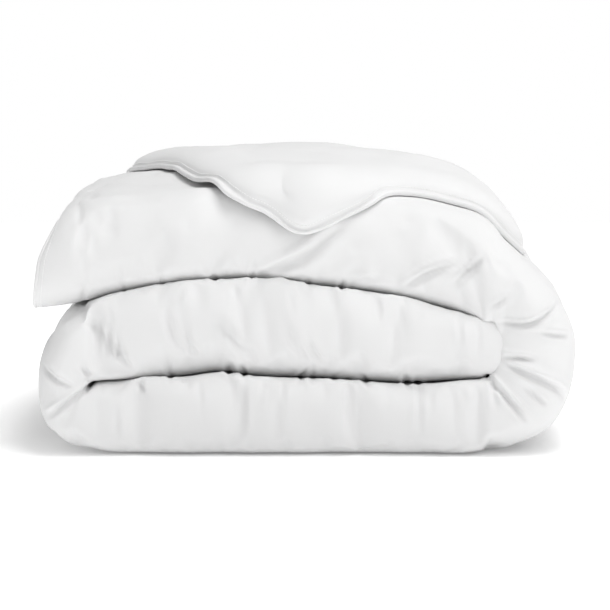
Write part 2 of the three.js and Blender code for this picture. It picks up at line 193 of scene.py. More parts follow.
def strip_stations():
    """Inner and outer points (x, z) of the strip from the tucked end to the free end, and their runs."""
    inner, outer, names = [], [], []

    def add(name, inside, outside):
        inner.append(np.array(inside, float))
        outer.append(np.array(outside, float))
        names.extend([name] * len(inside))

    low = middle_line(TUCK_BASE_X) + SLIT / 2
    high = arch(TUCK_BASE_X) - SLIT / 2
    angle = np.radians(np.linspace(6, 88, TUCK_RINGS))
    x = TUCK_BASE_X + (TUCK_TIP_X - TUCK_BASE_X) * np.cos(angle)
    half = (high - low) / 2 * np.sin(angle) ** TUCK_SQUARE
    middle = (high + low) / 2 + 0 * x
    add("tuck", np.column_stack([x, middle - half]), np.column_stack([x, middle + half]))

    x = np.arange(TUCK_BASE_X, LEFT_PIVOT[0], -STATION)
    lower = np.column_stack([x, middle_line(x) + SLIT / 2])
    add("middle", lower, np.column_stack([x, arch(x) - SLIT / 2]))

    x = LEFT_PIVOT[0]
    outline = [(x, arch(x) - SLIT / 2), *LEFT_OUTLINE, (x, floor_line(x))]
    angle = np.radians(np.linspace(90, 270, LEFT_RINGS))
    pivot = np.array(LEFT_PIVOT) + SLIT / 2 * np.column_stack([np.cos(angle), np.sin(angle)])
    add("left", pivot, resample(outline, LEFT_RINGS))

    x = np.arange(LEFT_PIVOT[0] + STATION, TURN_START_X, STATION)
    upper = np.column_stack([x, middle_line(x) - SLIT / 2])
    add("bottom", upper, np.column_stack([x, floor_line(x)]))

    x = TURN_START_X
    inside = [(x, middle_line(x) - SLIT / 2), *TUCK_OUTLINE, (x, arch(x) + SLIT / 2)]
    outside = [(x, 0.0), *RIGHT_OUTLINE, (x, top_line(x))]
    add("right", resample(inside, RIGHT_RINGS), resample(outside, RIGHT_RINGS))

    x = np.arange(TURN_START_X - STATION, PINCHED_X, -STATION)
    add("top", np.column_stack([x, arch(x) + SLIT / 2]), np.column_stack([x, top_line(x)]))
    return spread(np.vstack(inner), passes=3), spread(np.vstack(outer), passes=3), np.array(names)


INNER, OUTER, RUN = strip_stations()
MIDDLE = (INNER + OUTER) / 2
HALF = np.linalg.norm(OUTER - INNER, axis=1) / 2
OUT = (OUTER - INNER) / (2 * HALF[:, None])
CROWNS = spread(np.where(RUN == "top", CROWN, 0.0), passes=40)
TIP_FULL = 0.97  # the folds are this much shallower at the tip of the tucked end
FULL = np.interp(np.arange(len(RUN)), [0, TUCK_RINGS - 1], [TIP_FULL, 1.0])
SET_BACKS = {"middle": 0.005, "tuck": 0.004, "top": 0.002}  # how far behind the front a run's fold lies
SET_BACK = spread([SET_BACKS.get(name, 0.0) for name in RUN], passes=30)
TOP_START = int(np.argmax(RUN == "top"))
RIGHT_START = int(np.argmax(RUN == "right"))


def rounded(value, power):
    """The sine or cosine of an angle, turned into that of a squarer outline."""
    return np.sign(value) * np.abs(value) ** (2 / power)


def section():
    """A ring of the section: y of its flat base as a share, angle round the fold, and which fold."""
    a = np.radians(np.linspace(-90, 90, FOLD_POINTS))
    flat = np.linspace(-1, 1, FLAT_POINTS + 2)[1:-1]
    quarter = np.full(FLAT_POINTS, np.pi / 2)
    base = np.r_[-np.ones(FOLD_POINTS), flat, np.ones(FOLD_POINTS), -flat]
    angle = np.r_[a, quarter, -a, -quarter]
    return base, angle, np.r_[-np.ones(FOLD_POINTS), 0 * flat, np.ones(FOLD_POINTS), 0 * flat]


BASE, ANGLE, FOLD = section()
RISE = np.sin(ANGLE)
RING = len(BASE)

# Squareness of the folds, as a power. They are squarer where a run presses on the one below it, and
# squarest in the throat of the left turn.
HANGING, TURNING, LYING, FREE, GROUNDED, THROAT = 2.45, 3.4, 4.2, 2.25, 5.5, 7.0
THROAT_WIDTH = 0.06
IN_RUN = {name: RUN == name for name in ("tuck", "middle", "left", "bottom", "right", "top")}
IN_TURN = IN_RUN["left"] | IN_RUN["right"]
IN_MIDDLE = IN_RUN["middle"] | IN_RUN["tuck"]
INNER_POWER = spread(np.select([IN_RUN["bottom"], IN_TURN], [LYING, TURNING], HANGING), passes=40)
NEAR_THROAT = bell(INNER[:, 0], LEFT_PIVOT[0], THROAT_WIDTH) * ~IN_RUN["top"]
INNER_POWER += (THROAT - INNER_POWER) * NEAR_THROAT
OUTER_POWER = spread(np.select([IN_MIDDLE, IN_RUN["bottom"]], [LYING, GROUNDED], FREE), passes=70)

# The side that lies below rises in front, up against the rounded underside of the run above it.
LIP = 0.99
TURN_LIP = 0.97
LIP_FROM_X = -0.2
LIP_EDGE = 0.97  # the share of the fold at which the lip stops rising
LIPPED = IN_RUN["bottom"] & (INNER[:, 0] > LIP_FROM_X)
INNER_LIP = spread(np.select([LIPPED, IN_RUN["right"]], [LIP, TURN_LIP], 0.0), passes=12)
OUTER_LIP = spread(np.where(IN_MIDDLE, LIP, 0.0), passes=12)


def ring_at(i, q=0.0, x_shift=0.0, droop=0.0):
    """Ring i of the skin, drawn in by the share q, moved along X by x_shift, and let down by droop."""
    power = np.where(RISE < 0, INNER_POWER[i], OUTER_POWER[i])
    bulge = rounded(np.cos(ANGLE), power)
    rise = rounded(RISE, power)
    wedge = 1 - (1 - np.minimum(bulge, LIP_EDGE) ** HANGING) ** (1 / HANGING)
    rise = rise * (1 + wedge * np.where(RISE < 0, INNER_LIP[i], OUTER_LIP[i]))
    y = BASE * FLAT_HALF + FOLD * bulge * FOLD_BULGE * FULL[i] * (1 - q) + SET_BACK[i] * (BASE < 0)
    crown = np.where(FOLD == 0, CROWNS[i] * (RISE > 0) * (1 - BASE**2), 0)
    n = (rise * HALF[i] + crown) * (1 - q)
    x, z = MIDDLE[i]
    return np.column_stack([x + OUT[i, 0] * n + x_shift, y, z + OUT[i, 1] * n - droop])


# The free end rounds off from the skin to a seam round the section, and dips between the two layers
# inside it. The values are for the underside, the folds and the upper side.
HEAD_RINGS = 9
DIP_RINGS = 8
DIP_DEPTH = 0.030
SEAM_Q = np.interp(RISE, [-1, 0, 1], [0.06, 0.18, 0.34])
SEAM_REACH = np.interp(RISE, [-1, 0, 1], [0.056, 0.047, 0.026])
SEAM_DROOP = np.interp(RISE, [-1, 0, 1], [0.011, 0.006, 0.0])


def head_rings():
    last = len(RUN) - 1
    rings = []
    for t in np.radians(np.linspace(0, 90, HEAD_RINGS + 1)[1:]):
        hang = SEAM_DROOP * np.sin(t)
        rings.append(ring_at(last, SEAM_Q * (1 - np.cos(t)), -SEAM_REACH * np.sin(t), hang))
    for t in np.radians(np.linspace(0, 86, DIP_RINGS + 1)[1:]):
        q = SEAM_Q + (1 - SEAM_Q) * np.sin(t)
        rings.append(ring_at(last, q, -SEAM_REACH + DIP_DEPTH * (1 - np.cos(t)), SEAM_DROOP))
    return rings


# ---- meshes --------------------------------------------------------------------------------------


def new_mesh(name, points, faces):
    mesh = bpy.data.meshes.new(name)
    mesh.from_pydata([tuple(p) for p in points], [], [tuple(int(i) for i in f) for f in faces])
    mesh.validate()
    for polygon in mesh.polygons:
        polygon.use_smooth = True
    piece = bpy.data.objects.new(name, mesh)
    bpy.context.scene.collection.objects.link(piece)
    return piece


def coordinates(piece):
    co = np.empty(len(piece.data.vertices) * 3, np.float32)
    piece.data.vertices.foreach_get("co", co)
    return co.reshape(-1, 3).astype(float)


def set_coordinates(piece, points):
    piece.data.vertices.foreach_set("co", points.astype(np.float32).ravel())
    piece.data.update()


def normals(piece):
    n = np.empty(len(piece.data.vertices) * 3, np.float32)
    piece.data.vertex_normals.foreach_get("vector", n)
    return n.reshape(-1, 3).astype(float)


def grid_faces(rows, columns):
    """Quads between rows of points, each row a closed ring."""
    faces = []
    for r in range(rows - 1):
        this, following = r * columns, (r + 1) * columns
        for i in range(columns):
            j = (i + 1) % columns
            faces.append((this + i, this + j, following + j, following + i))
    return faces


def build_strip():
    rings = [ring_at(i) for i in range(len(RUN))] + head_rings()
    points = np.vstack(rings)
    faces = grid_faces(len(rings), RING)
    # The tip of the tucked end and the dip in the free end are closed by strips of quads.
    for first, flip in ((0, False), ((len(rings) - 1) * RING, True)):
        a = [first + i for i in range(RING)]
        half = RING // 2
        shift = FOLD_POINTS // 2
        order = a[shift:] + a[:shift]
        for k in range(half - 1):
            quad = (order[k], order[k + 1], order[RING - 2 - k], order[RING - 1 - k])
            faces.append(quad if flip else quad[::-1])
    return new_mesh("strip", points, faces)


def apply_modifier(piece, name):
    bpy.context.view_layer.objects.active = piece
    with bpy.context.temp_override(object=piece, active_object=piece, selected_objects=[piece]):
        bpy.ops.object.modifier_apply(modifier=name)


def subdivide(piece, levels=1):
    piece.modifiers.new("smooth", "SUBSURF").levels = levels
    apply_modifier(piece, "smooth")


def inflate(piece, held, pressure, grow, cap, frames=14):
    """Blows the skin up by cloth simulation, with `held` (0 to 1 per vertex) pinned, and caps its moves."""
    group = piece.vertex_groups.new(name="held")
    for level in np.unique(np.round(held, 2)):
        if level > 0:
            group.add([int(i) for i in np.flatnonzero(np.round(held, 2) == level)], float(level), "REPLACE")
    before = coordinates(piece)
    cloth = piece.modifiers.new("cloth", "CLOTH")
    settings = cloth.settings
    settings.quality = 5
    settings.mass = 0.15
    settings.use_pressure = True
    settings.uniform_pressure_force = pressure
    settings.shrink_min = -grow
    settings.tension_stiffness = 15
    settings.compression_stiffness = 15
    settings.shear_stiffness = 5
    settings.bending_stiffness = 2.0
    settings.air_damping = 4
    settings.vertex_group_mass = "held"
    settings.pin_stiffness = 1
    settings.effector_weights.gravity = 0
    cloth.collision_settings.use_collision = False
    cloth.collision_settings.use_self_collision = False
    scene = bpy.context.scene
    scene.frame_start, scene.frame_end = 1, frames
    cloth.point_cache.frame_start, cloth.point_cache.frame_end = 1, frames
    for f in range(1, frames + 1):
        scene.frame_set(f)
    apply_modifier(piece, "cloth")
    moved = coordinates(piece) - before
    length = np.linalg.norm(moved, axis=1, keepdims=True)
    moved *= np.minimum(1, cap / np.maximum(length, 1e-9)) * (1 - held[:, None])
    set_coordinates(piece, before + moved)
    scene.frame_set(1)
    piece.vertex_groups.clear()


NOISE_WAVES = 18
NOISE_LEVEL = 4.2


def noise(points, size, seed):
    """Soft bumps of about that size, from -1 to 1, as a sum of waves in directions drawn from the seed."""
    draw = np.random.default_rng(seed)
    total = np.zeros(len(points))
    for _ in range(NOISE_WAVES):
        way = draw.normal(size=3)
        way *= 2 * math.pi / (size * draw.uniform(1.6, 2.6)) / np.linalg.norm(way)
        total += np.sin(points @ way + draw.uniform(0, 2 * math.pi))
    return total / NOISE_LEVEL


# ---- creases -------------------------------------------------------------------------------------

# Creases seen from the front, in millimetres: points (x, z), depth and width.
LEFT_CREASES = [
    ([(-303, 106), (-286, 92), (-269, 82)], 3.0, 5),
    ([(-298, 47), (-268, 68), (-244, 83)], 4.0, 6),
    ([(-250, 156), (-231, 139), (-212, 117), (-200, 102)], 4.5, 6),
    ([(-258, 105), (-246, 93)], 2.5, 5),
]
MIDDLE_CREASES = [
    ([(-162, 166), (-143, 125)], 3.0, 8),
    ([(-143, 148), (-123, 114)], 2.5, 6),
    ([(-108, 163), (-66, 120)], 3.5, 8),
    ([(-28, 160), (-1, 117)], 2.2, 8),
    ([(3, 133), (22, 106)], 2.5, 6),
]
BOTTOM_CREASES = [
    ([(-192, 88), (-185, 76)], 3.0, 5),
    ([(217, 94), (220, 60)], 2.0, 6),
    ([(-70, 88), (-71, 30)], 1.6, 7),
    ([(51, 88), (51, 30)], 1.6, 7),
    ([(133, 88), (133, 30)], 1.6, 7),
    ([(-217, 60), (-217, 20)], 1.5, 7),
]
RIGHT_CREASES = [
    ([(225, 156), (263, 157), (298, 179)], 4.0, 6),
    ([(271, 146), (307, 139)], 3.0, 6),
    ([(227, 117), (263, 115)], 4.0, 6),
    ([(225, 113), (256, 99), (294, 79), (303, 64)], 5.0, 7),
    ([(210, 94), (225, 79), (248, 53), (257, 41)], 4.5, 6),
    ([(256, 83), (279, 60)], 3.0, 6),
]
TOP_CREASES = [
    ([(110, 192), (145, 214), (179, 225)], 3.5, 7),
    ([(171, 198), (187, 214), (206, 231)], 3.5, 7),
    ([(214, 175), (237, 186)], 2.5, 6),
    ([(-54, 208), (-20, 222), (8, 238), (30, 256), (46, 266)], 4.5, 10),
    ([(53, 202), (87, 208)], 2.5, 7),
    ([(-258, 297), (-166, 297)], 1.8, 9),
]


MM = 0.001
CREASE_DEPTH = 1.5  # the depths and widths above are multiplied by these
CREASE_WIDTH = 0.55
CREASE_STEPS = 40
CREASE_REACH = 5  # widths from a crease within which it moves the skin
CREASED_TO_Y = -0.10  # creases fade out behind this, within FADE_LENGTH
FADE_LENGTH = 0.05
RIDGE_LEFT, RIDGE_RIGHT = 0.62, 0.3  # height of the ridges beside a crease, as a share of its depth
RIDGE_AT, RIDGE_WIDTH = 1.9, 0.9  # in widths of the crease
TAPER = 0.7


def carve(points, outward, creases):
    """Sinks creases into the front of a skin, each with a ridge on either side of it."""
    sink = np.zeros(len(points))
    facing = 1 - np.clip((points[:, 1] - CREASED_TO_Y) / FADE_LENGTH, 0, 1)
    for path, depth, width in creases:
        line = resample(np.array(path) * MM, CREASE_STEPS)
        deep, wide = CREASE_DEPTH * depth * MM, CREASE_WIDTH * width * MM
        reach = CREASE_REACH * wide
        low, high = line.min(axis=0) - reach, line.max(axis=0) + reach
        flat = points[:, [0, 2]]
        near = np.flatnonzero((facing > 0) & (flat > low).all(axis=1) & (flat < high).all(axis=1))
        if not len(near):
            continue
        away = flat[near][:, None, :] - line[None]
        distance = np.linalg.norm(away, axis=2)
        at = distance.argmin(axis=1)
        rows = np.arange(len(near))
        ahead = np.gradient(line, axis=0)[at]
        side = np.sign(ahead[:, 0] * away[rows, at, 1] - ahead[:, 1] * away[rows, at, 0])
        taper = np.sin(np.pi * (at + 0.5) / CREASE_STEPS) ** TAPER
        d = distance[rows, at] / wide
        ridge = np.where(side > 0, RIDGE_LEFT, RIDGE_RIGHT) * bell(d, RIDGE_AT, RIDGE_WIDTH)
        sink[near] += deep * taper * (np.exp(-(d**2)) - ridge) * facing[near]
    return points - outward * sink[:, None]


GATHER_SEED = 11
GATHERED_LINES = [(middle_line, -0.235, 0.215), (arch, -0.26, 0.2)]  # each from x to x


def gathers():
    """Short creases across the lines where two runs meet, in front."""
    draw = np.random.default_rng(GATHER_SEED)
    found = []
    for line, low, high in GATHERED_LINES:
        x = low
        while x < high:
            z = float(line(np.array(x)))
            reach = draw.uniform(0.012, 0.034)
            lean = draw.uniform(-0.012, 0.012)
            side = 1 if draw.random() < 0.5 else -1
            path = [(x / MM, z / MM), ((x + lean) / MM, (z + side * reach) / MM)]
            found.append((path, draw.uniform(0.6, 1.7), draw.uniform(4.5, 7)))
            x += draw.uniform(0.016, 0.05)
    return found


# ---- the strip -----------------------------------------------------------------------------------

RING_COUNT = len(RUN) + HEAD_RINGS + DIP_RINGS
HELD_FROM = 0.55  # height in the section from which a touching side is held, fully HELD_RANGE higher
HELD_RANGE = 0.4
HEAD_HELD = 0.8
SWELLS = [(0.0022, 0.07, 3), (0.0012, 0.03, 4)]  # soft bumps: height, size and seed
CONTACT_CALM = 0.85  # the share by which bumps are lower where the skin is held
FLOOR_CLEAR = 0.0004


def contact():
    """How far each point of the strip is held by a neighbour, from 0 to 1."""
    names = np.r_[RUN, np.full(HEAD_RINGS + DIP_RINGS, "head")]
    rise = np.tile(RISE, RING_COUNT).reshape(RING_COUNT, RING)
    both = np.isin(names, ["tuck", "middle", "bottom"])[:, None]
    side = np.where(both, np.abs(rise), -rise)
    held = np.clip((side - HELD_FROM) / HELD_RANGE, 0, 1)
    held[names == "head"] = np.maximum(held[names == "head"], HEAD_HELD)
    held[-DIP_RINGS:] = 1
    return held.ravel()


def make_strip():
    strip = build_strip()
    held = contact()
    stations = np.repeat(np.arange(RING_COUNT), RING).astype(np.float32)
    for name, values in (("station", stations), ("contact", held.astype(np.float32))):
        strip.data.attributes.new(name, "FLOAT", "POINT").data.foreach_set("value", values)
    inflate(strip, held, pressure=4, grow=0.035, cap=0.007)
    subdivide(strip)
    points = coordinates(strip)
    loose = np.empty(len(points), np.float32)
    strip.data.attributes["contact"].data.foreach_get("value", loose)
    loose = 1 - CONTACT_CALM * loose.astype(float)
    swell = sum(height * noise(points, size, seed) for height, size, seed in SWELLS)
    points = points + normals(strip) * (swell * loose)[:, None]
    set_coordinates(strip, points)
    outward = normals(strip)
    seen = LEFT_CREASES + MIDDLE_CREASES + BOTTOM_CREASES + RIGHT_CREASES + TOP_CREASES
    points = carve(points, outward, seen + gathers())
    points[:, 2] = np.maximum(points[:, 2], FLOOR_CLEAR)
    set_coordinates(strip, points)
    return strip


def face_corners(piece):
    corners = np.empty(len(piece.data.loops), np.int32)
    piece.data.loops.foreach_get("vertex_index", corners)
    starts = np.empty(len(piece.data.polygons), np.int32)
    piece.data.polygons.foreach_get("loop_start", starts)
    return np.split(corners, starts[1:])


def rim_of(faces):
    """The open rim of some faces, as a loop of points in order."""
    edges = {}
    for face in faces:
        for a, b in zip(face, np.roll(face, -1)):
            if edges.pop((int(b), int(a)), None) is None:
                edges[(int(a), int(b))] = True
    onward = dict(edges.keys())
    if not onward:
        return []
    start = next(iter(onward))
    loop = [start]
    while onward[loop[-1]] != start:
        loop.append(onward[loop[-1]])
    return loop[::-1]


def split_by(piece, values, cut, names):
    """Cuts a closed piece in two where `values` passes `cut`, and closes both. Shading runs on over it."""
    points, outward = coordinates(piece), normals(piece)
    faces = face_corners(piece)
    halves = [[], []]
    for face in faces:
        halves[int(values[face].mean() > cut)].append(face)
    made = []
    for name, half in zip(names, halves):
        rim = rim_of(half)
        used = np.unique(np.concatenate(half))
        new_index = np.full(len(points), -1)
        new_index[used] = np.arange(len(used))
        kept = [tuple(new_index[f]) for f in half]
        if rim:
            kept.append(tuple(new_index[rim]))
        part = new_mesh(name, points[used], kept)
        part.data.normals_split_custom_set_from_vertices([tuple(n) for n in outward[used]])
        made.append(part)
    bpy.data.objects.remove(piece, do_unlink=True)
    return made


# ---- laying things on the strip ------------------------------------------------------------------

WAYS = np.arange(-0.06, 0.62, 0.002)  # ways round the fold from its front
CREST_WAY = 0.1  # the way at which the front fold has come up to the flat part
FRONT = FOLD_POINTS // 2
BACK_POINTS = 14  # points of a ring that are taken round the back fold


class Surface:
    """The strip's upper skin by unrolled x, which goes on past the right turn, and way round the fold."""

    def __init__(self, strip):
        points = coordinates(strip)[: RING_COUNT * RING].reshape(RING_COUNT, RING, 3)
        rows = points[RIGHT_START : len(RUN) + HEAD_RINGS]
        table = []
        for ring in rows:
            past = FRONT + FOLD_POINTS + FLAT_POINTS + BACK_POINTS
            line = np.vstack([(ring[FRONT - 1] + ring[FRONT]) / 2, ring[FRONT:past]])
            under = np.vstack([line[:1], ring[FRONT - 1 :: -1]])
            way = np.r_[0, np.cumsum(np.linalg.norm(np.diff(line, axis=0), axis=1))]
            back = np.r_[0, np.cumsum(np.linalg.norm(np.diff(under, axis=0), axis=1))]
            way, line = np.r_[-back[:0:-1], way], np.vstack([under[:0:-1], line])
            table.append(np.column_stack([np.interp(WAYS, way, line[:, k]) for k in range(3)]))
        self.points = np.array(table)
        for _ in range(2):
            self.points[1:-1] = (self.points[:-2] + 2 * self.points[1:-1] + self.points[2:]) / 4
        n = np.cross(np.gradient(self.points, axis=1), np.gradient(self.points, axis=0))
        self.outward = n / np.maximum(np.linalg.norm(n, axis=2, keepdims=True), 1e-12)
        turn = TOP_START - RIGHT_START
        column = np.searchsorted(WAYS, CREST_WAY)
        if self.outward[turn:, column, 2].mean() < 0:
            self.outward *= -1
        crest = self.points[:, column]
        along = np.r_[0, np.cumsum(np.linalg.norm(np.diff(crest, axis=0), axis=1))]
        x = crest[:, 0].copy()
        x[:turn] = crest[turn, 0] + along[turn] - along[:turn]
        self.x = np.maximum.accumulate(x[::-1])[::-1]

    def at(self, x, way, lift=0.0):
        """Points `lift` above the skin, and the ways out of it there."""
        x, way = np.broadcast_arrays(np.asarray(x, float), np.asarray(way, float))
        row = np.interp(-x, -self.x, np.arange(len(self.x)))
        column = np.interp(way, WAYS, np.arange(len(WAYS)))
        r = np.clip(row.astype(int), 0, len(self.x) - 2)
        c = np.clip(column.astype(int), 0, len(WAYS) - 2)
        fr, fc = (row - r)[..., None], (column - c)[..., None]

        def mix(t):
            near = t[r, c] * (1 - fc) + t[r, c + 1] * fc
            far = t[r + 1, c] * (1 - fc) + t[r + 1, c + 1] * fc
            return near * (1 - fr) + far * fr

        out = mix(self.outward)
        out /= np.linalg.norm(out, axis=-1, keepdims=True)
        return mix(self.points) + out * np.asarray(lift, float)[..., None], out


# ---- the third layer -----------------------------------------------------------------------------

LAYER_THICK = 0.029
LAYER_CLEAR = 0.0012  # between the layer's underside and the strip
HEM = 0.0065  # from the edge to the row of stitches
HEM_THICK = 0.0055
LAYER_BACK = 0.560  # the way at which the layer goes over into the back fold
LAYER_CUT_X = 0.125  # where the turn's part of the layer begins
LOOSE_LIFT = 0.007  # the left branch of its edge stands off this much more
LOOSE_X = -0.080
LOOSE_WIDTH = 0.085
LOOSE_FADE = 0.03
TURN_THIN = 0.025  # how much thinner the layer is under the roll, from TURN_THIN_X on
TURN_THIN_X = 0.284
TURN_THIN_LENGTH = 0.02
BACK_THIN = 0.8  # the share by which it thins towards the back fold, from BACK_THIN_WAY on
BACK_THIN_WAY = 0.48
BACK_THIN_LENGTH = 0.08
BACK_HEM_WAY = 0.52
BACK_HEM_LENGTH = 0.04
BACK_HEM_THIN = 0.6
PUFF_FROM = 0.8 * HEM
PUFF_LENGTH = 0.055
PUFF_IN, PUFF_OUT = 2.1, 1 / 1.9
STITCH_DENT = 0.0009
STITCH_DENT_WIDTH = 0.002

# The free edge: unrolled x, and way round the fold from its front.
EDGE_POINTS = [
    (-0.244, 0.545),
    (-0.234, 0.470),
    (-0.214, 0.395),
    (-0.192, 0.325),
    (-0.168, 0.250),
    (-0.144, 0.170),
    (-0.125, 0.113),
    (-0.102, 0.066),
    (-0.074, 0.041),
    (-0.044, 0.027),
    (-0.020, 0.014),
    (-0.004, 0.011),
    (0.012, 0.014),
    (0.044, 0.031),
    (0.078, 0.052),
    (0.114, 0.084),
    (0.160, 0.097),
    (0.200, 0.112),
    (0.240, 0.124),
    (0.274, 0.142),
    (0.291, 0.180),
    (0.299, 0.290),
    (0.309, 0.390),
    (0.350, 0.430),
    (0.530, 0.440),
]
EDGE_STEPS = 400
EDGE = resample(EDGE_POINTS, EDGE_STEPS)


def edge_way(x):
    return np.interp(x, EDGE[:, 0], EDGE[:, 1])


def from_edge(x, way):
    """Distance from the layer's free edge, along the cover."""
    x, way = np.broadcast_arrays(x, way)
    flat = np.column_stack([x.ravel(), way.ravel()])
    nearest = np.full(len(flat), 9.0)
    for a, b in zip(EDGE[:-1], EDGE[1:]):
        t = np.clip(((flat - a) @ (b - a)) / ((b - a) @ (b - a)), 0, 1)[:, None]
        nearest = np.minimum(nearest, np.linalg.norm(flat - a - t * (b - a), axis=1))
    return nearest.reshape(x.shape)


def layer_lift(x, d):
    """How far the layer's underside stands off the strip: the left branch of its edge is a little loose."""
    return LAYER_CLEAR + LOOSE_LIFT * bell(x, LOOSE_X, LOOSE_WIDTH) * np.exp(-d / LOOSE_FADE)


def layer_thick(x, way, d):
    """The layer's thickness: a flat hem with a dent along its stitches, and the puff inside it."""
    full = LAYER_THICK - TURN_THIN * smooth_step((x - TURN_THIN_X) / TURN_THIN_LENGTH)
    full = full - BACK_THIN * full * smooth_step((way - BACK_THIN_WAY) / BACK_THIN_LENGTH)
    puff = np.clip((d - PUFF_FROM) / PUFF_LENGTH, 0, 1)
    puff = (1 - (1 - puff) ** PUFF_IN) ** PUFF_OUT
    hem = HEM_THICK - STITCH_DENT * bell(d, HEM, STITCH_DENT_WIDTH)
    hem = hem * (1 - BACK_HEM_THIN * smooth_step((way - BACK_HEM_WAY) / BACK_HEM_LENGTH))
    return hem + np.maximum(full - HEM_THICK, 0) * puff


LAYER_ROWS = 84
ROWS_BUNCHED = 1.9  # over 0 puts the rows closer together towards the free edge
LAYER_X_PARTS = [(-0.243, -0.06, 0.005), (-0.06, 0.07, 0.003), (0.07, 0.53, 0.0055)]  # from, to, step


def layer_columns():
    """Unrolled x of the layer's columns of points, which are closest at the loose corner."""
    return np.concatenate([np.arange(*part) for part in LAYER_X_PARTS])


def make_layer(surface):
    """The padded third layer as one closed skin: its upper side, and then its underside."""
    x = layer_columns()
    v = np.linspace(0, 1, LAYER_ROWS)
    v = (np.exp(ROWS_BUNCHED * v) - 1) / (math.exp(ROWS_BUNCHED) - 1)
    edge = edge_way(x)[:, None]
    way = edge + (LAYER_BACK - edge) * v[None]
    across = np.repeat(x[:, None], LAYER_ROWS, axis=1)
    d = from_edge(across, way)
    lift = layer_lift(across, d)
    upper, _ = surface.at(across, way, lift + layer_thick(across, way, d))
    lower, _ = surface.at(across, way, lift)
    rings = np.concatenate([upper, lower[:, ::-1]], axis=1)
    count = rings.shape[1]
    faces = grid_faces(len(x), count)
    for first, flip in ((0, False), ((len(x) - 1) * count, True)):
        for k in range(LAYER_ROWS - 1):
            upper_pair = (first + k, first + k + 1)
            quad = (*upper_pair, first + count - 2 - k, first + count - 1 - k)
            faces.append(quad if flip else quad[::-1])
    layer = new_mesh("layer", rings.reshape(-1, 3), faces)
    along = np.repeat(x, count).astype(np.float32)
    layer.data.attributes.new("along", "FLOAT", "POINT").data.foreach_set("value", along)
    return layer


def facing_out(piece):
    """Turns all faces round if they point inwards."""
    corner = coordinates(piece)
    volume = 0.0
    for face in face_corners(piece):
        a = corner[face[0]]
        for i in range(1, len(face) - 1):
            volume += a @ np.cross(corner[face[i]], corner[face[i + 1]])
    if volume < 0:
        piece.data.flip_normals()
    return piece


# ---- bound edges and stitches --------------------------------------------------------------------


TUBE_STEP = 30  # degrees round a tape
BEAD_STEP = 60  # and round a stitch


def tube(name, centres, outs, half_wide, half_thick):
    """A tape folded over an edge: a flattened round section swept along the centres."""
    ahead = np.gradient(centres, axis=0)
    ahead /= np.linalg.norm(ahead, axis=1, keepdims=True)
    side = np.cross(ahead, outs)
    side /= np.linalg.norm(side, axis=1, keepdims=True)
    up = np.cross(side, ahead)
    angles = np.radians(np.arange(0, 360, TUBE_STEP))
    lines = [centres + half_wide * math.cos(a) * side + half_thick * math.sin(a) * up for a in angles]
    rings = np.stack(lines, axis=1)
    faces = grid_faces(len(centres), len(angles))
    last = (len(centres) - 1) * len(angles)
    faces.append(tuple(range(len(angles)))[::-1])
    faces.append(tuple(last + i for i in range(len(angles))))
    return facing_out(new_mesh(name, rings.reshape(-1, 3), faces))


def stitches(name, centres, outs, pitch=0.0036, length=0.0026, radius=0.00045):
    """A row of machine stitches along the centres, each a short bead of thread."""
    way = np.r_[0, np.cumsum(np.linalg.norm(np.diff(centres, axis=0), axis=1))]
    points, faces = [], []
    rings = np.array([(-0.5, 0.25), (-0.32, 1.0), (0.32, 1.0), (0.5, 0.25)])  # place and radius, as shares
    angles = np.radians(np.arange(0, 360, BEAD_STEP))
    sides = len(angles)

    def at(w, table):
        return np.array([np.interp(w, way, table[:, k]) for k in range(3)])

    for w in np.arange(pitch, way[-1] - pitch, pitch):
        middle, out = at(w, centres), at(w, outs)
        ahead = at(w + 0.001, centres) - at(w - 0.001, centres)
        ahead /= np.linalg.norm(ahead)
        side = np.cross(ahead, out)
        side /= np.linalg.norm(side)
        up = np.cross(side, ahead)
        base = len(points)
        for along, share in rings:
            for a in angles:
                round_it = math.cos(a) * side + math.sin(a) * up
                points.append(middle + ahead * along * length + radius * share * round_it)
        faces += [tuple(base + i for i in f) for f in grid_faces(len(rings), sides)]
        last = base + (len(rings) - 1) * sides
        faces.append(tuple(base + i for i in range(sides))[::-1])
        faces.append(tuple(last + i for i in range(sides)))
    return facing_out(new_mesh(name, points, faces))


def beside_edge(surface, inset, low, high, share):
    """Points along the free edge from x = low to high, `inset` inwards, at a share of the thickness."""
    line = EDGE[(EDGE[:, 0] >= low) & (EDGE[:, 0] <= high)]
    ahead = np.gradient(line, axis=0)
    ahead /= np.linalg.norm(ahead, axis=1, keepdims=True)
    inward = np.column_stack([-ahead[:, 1], ahead[:, 0]])
    place = line + inset * inward
    x, way = place[:, 0], place[:, 1]
    d = from_edge(x, way)
    lift = layer_lift(x, d) + share * layer_thick(x, way, d)
    return *surface.at(x, way, lift), x


EDGE_LEFT_X = -0.241
EDGE_RIGHT_X = 0.525
TAPE_INSET = 0.0005
TAPE_SHARE = 0.5  # height of the tape's middle, as a share of the layer's thickness
TAPE_SIZE = (0.0026, 0.0033)  # half its width and half its thickness
STITCH_SHARE = 1.02
CHUNK = 2000  # points measured at a time


def nearest_centre(points, centres):
    """For each point, the index of the centre that is closest to it."""
    found = []
    for part in np.array_split(points, 1 + len(points) // CHUNK):
        found.append(np.linalg.norm(part[:, None] - centres[None], axis=2).argmin(axis=1))
    return np.concatenate(found)


